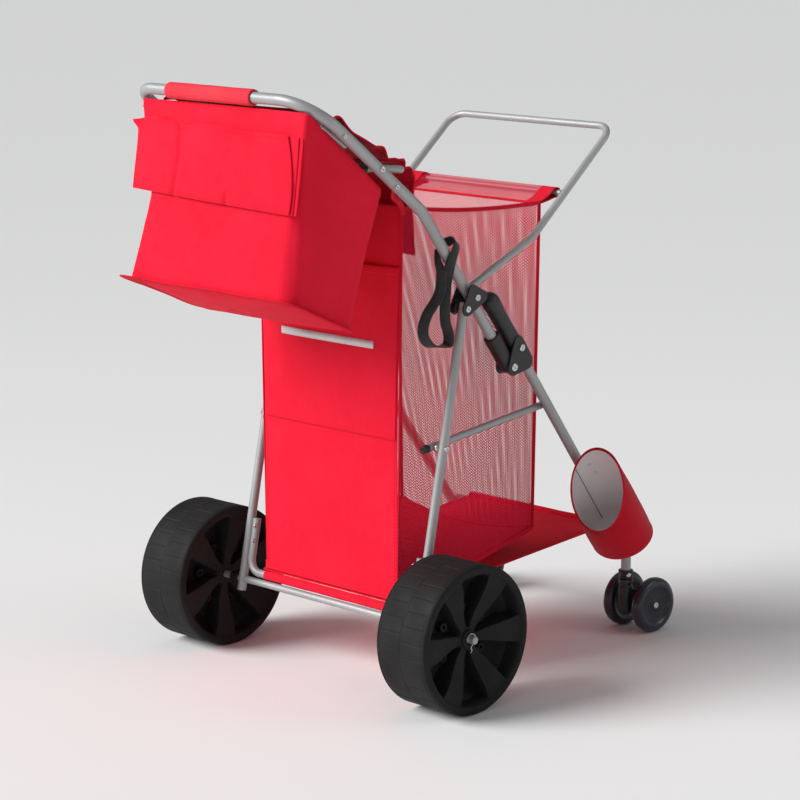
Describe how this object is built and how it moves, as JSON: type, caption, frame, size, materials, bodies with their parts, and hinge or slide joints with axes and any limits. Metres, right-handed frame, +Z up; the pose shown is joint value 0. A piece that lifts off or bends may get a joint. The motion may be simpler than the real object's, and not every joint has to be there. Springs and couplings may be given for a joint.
{
  "type": "folding beach cart",
  "caption": "Folding beach cart with wide rear wheels, swivel front casters, an open fabric bag, a rear tote and a cup pouch.",
  "frame": {"origin": "on the floor, under the middle of the cart's bounding box", "axes": "+X to the cart's right, +Y forward from the handle to the casters, +Z up"},
  "size_m": [0.706, 0.9136, 1.0314],
  "materials": {
    "satin_tube": "satin",
    "black_plastic": "matte",
    "red_grip": "matte",
    "zinc_rivet": "satin",
    "red_cloth": "matte",
    "black_webbing": "matte",
    "wheel_plastic": "matte",
    "caster_tyre": "satin"
  },
  "bodies": {
    "upper_frame": {"main_tube": "satin_tube", "hand_grip": "red_grip", "tote_rear_bar": "satin_tube", "bracket_right": "black_plastic", "bracket_left": "black_plastic", "fold_sleeve_right": "black_plastic", "fold_sleeve_left": "black_plastic", "hoop_pin_right": "zinc_rivet", "hoop_pin_left": "zinc_rivet", "leg_pin_right": "zinc_rivet", "leg_pin_left": "zinc_rivet", "fold_pin_right": "zinc_rivet", "fold_pin_left": "zinc_rivet", "tote_pin_right": "zinc_rivet", "tote_pin_left": "zinc_rivet", "main_bag": "red_cloth", "bag_tab_right": "red_cloth", "bag_tab_left": "red_cloth", "tote": "red_cloth", "tote_pocket": "red_cloth", "hanging_strap": "black_webbing"},
    "front_legs": {"front_leg_right": "satin_tube", "front_leg_left": "satin_tube", "leg_housing_right": "black_plastic", "leg_housing_left": "black_plastic", "front_bar": "satin_tube", "stem_collar_right": "black_plastic", "stem_collar_left": "black_plastic", "cup_holder": "red_cloth", "platform": "red_cloth"},
    "rear_legs": {"rear_leg_right": "satin_tube", "rear_leg_left": "satin_tube", "axle": "satin_tube", "lower_bar": "satin_tube", "brace_pin_right": "zinc_rivet", "brace_pin_left": "zinc_rivet", "hub_spacer_right": "black_plastic", "hub_spacer_left": "black_plastic", "axle_clip_right": "zinc_rivet", "axle_clip_left": "zinc_rivet"},
    "braces": {"brace_right": "satin_tube", "brace_left": "satin_tube"},
    "front_hoop": {"front_hoop": "satin_tube", "bag_front_bar": "satin_tube"},
    "swing_bar": {"swing_bar": "satin_tube", "swing_bar_cap_right": "black_plastic", "swing_bar_cap_left": "black_plastic"},
    "lid": {"lid": "red_cloth"},
    "rear_wheel_right": {"rear_wheel_right": "wheel_plastic"},
    "rear_wheel_left": {"rear_wheel_left": "wheel_plastic"},
    "caster_right": {"caster_body_right": "black_plastic", "caster_axle_right": "zinc_rivet"},
    "caster_wheel_right_inner": {"caster_wheel_right_inner": "caster_tyre"},
    "caster_wheel_right_outer": {"caster_wheel_right_outer": "caster_tyre"},
    "caster_left": {"caster_body_left": "black_plastic", "caster_axle_left": "zinc_rivet"},
    "caster_wheel_left_inner": {"caster_wheel_left_inner": "caster_tyre"},
    "caster_wheel_left_outer": {"caster_wheel_left_outer": "caster_tyre"}
  },
  "joints": [
    {"name": "fold", "type": "hinge", "parent": "upper_frame", "child": "front_legs", "pos_m": [0, 0.0412, 0.5392], "axis": [1, 0, 0], "range_deg": [-110, 0], "deforming": ["platform", "main_bag", "hanging_strap"]},
    {"name": "rear_fold", "type": "hinge", "parent": "upper_frame", "child": "rear_legs", "pos_m": [0, -0.0803, 0.65459], "axis": [1, 0, 0], "range_deg": [-69, 0]},
    {"name": "brace_turn", "type": "hinge", "parent": "rear_legs", "child": "braces", "pos_m": [0, -0.12769, 0.422], "axis": [1, 0, 0], "range_deg": [0, 30]},
    {"name": "hoop_lower", "type": "hinge", "parent": "upper_frame", "child": "front_hoop", "pos_m": [0, -0.05735, 0.67166], "axis": [1, 0, 0], "range_deg": [0, 80], "deforming": ["main_bag"]},
    {"name": "tote_bar_swing", "type": "hinge", "parent": "upper_frame", "child": "swing_bar", "pos_m": [0, -0.2728, 0.90391], "axis": [1, 0, 0], "range_deg": [-37, 0], "deforming": ["bag_tab_right", "bag_tab_left"]},
    {"name": "lid_flip", "type": "hinge", "parent": "upper_frame", "child": "lid", "pos_m": [0, -0.3938, 1.003], "axis": [1, 0, 0], "range_deg": [0, 95]},
    {"name": "rear_wheel_right_spin", "type": "hinge", "parent": "rear_legs", "child": "rear_wheel_right", "pos_m": [0.3, -0.1878, 0.127], "axis": [1, 0, 0], "continuous": true},
    {"name": "rear_wheel_left_spin", "type": "hinge", "parent": "rear_legs", "child": "rear_wheel_left", "pos_m": [-0.3, -0.1878, 0.127], "axis": [1, 0, 0], "continuous": true},
    {"name": "caster_right_swivel", "type": "hinge", "parent": "front_legs", "child": "caster_right", "pos_m": [0.2098, 0.3682, 0.08], "axis": [0, 0, 1], "continuous": true},
    {"name": "caster_wheel_right_inner_spin", "type": "hinge", "parent": "caster_right", "child": "caster_wheel_right_inner", "pos_m": [0.17673, 0.40598, 0.0508], "axis": [0.9986, -0.0523, 0], "continuous": true},
    {"name": "caster_wheel_right_outer_spin", "type": "hinge", "parent": "caster_right", "child": "caster_wheel_right_outer", "pos_m": [0.24664, 0.40232, 0.0508], "axis": [0.9986, -0.0523, 0], "continuous": true},
    {"name": "caster_left_swivel", "type": "hinge", "parent": "front_legs", "child": "caster_left", "pos_m": [-0.2098, 0.3682, 0.08], "axis": [0, 0, -1], "continuous": true},
    {"name": "caster_wheel_left_inner_spin", "type": "hinge", "parent": "caster_left", "child": "caster_wheel_left_inner", "pos_m": [-0.17296, 0.40232, 0.0508], "axis": [0.9986, -0.0523, 0], "continuous": true},
    {"name": "caster_wheel_left_outer_spin", "type": "hinge", "parent": "caster_left", "child": "caster_wheel_left_outer", "pos_m": [-0.24287, 0.40598, 0.0508], "axis": [0.9986, -0.0523, 0], "continuous": true}
  ],
  "couplings": [
    {"joint": "rear_fold", "follows": "fold", "ratio": 0.62},
    {"joint": "brace_turn", "follows": "fold", "ratio": -0.27}
  ]
}
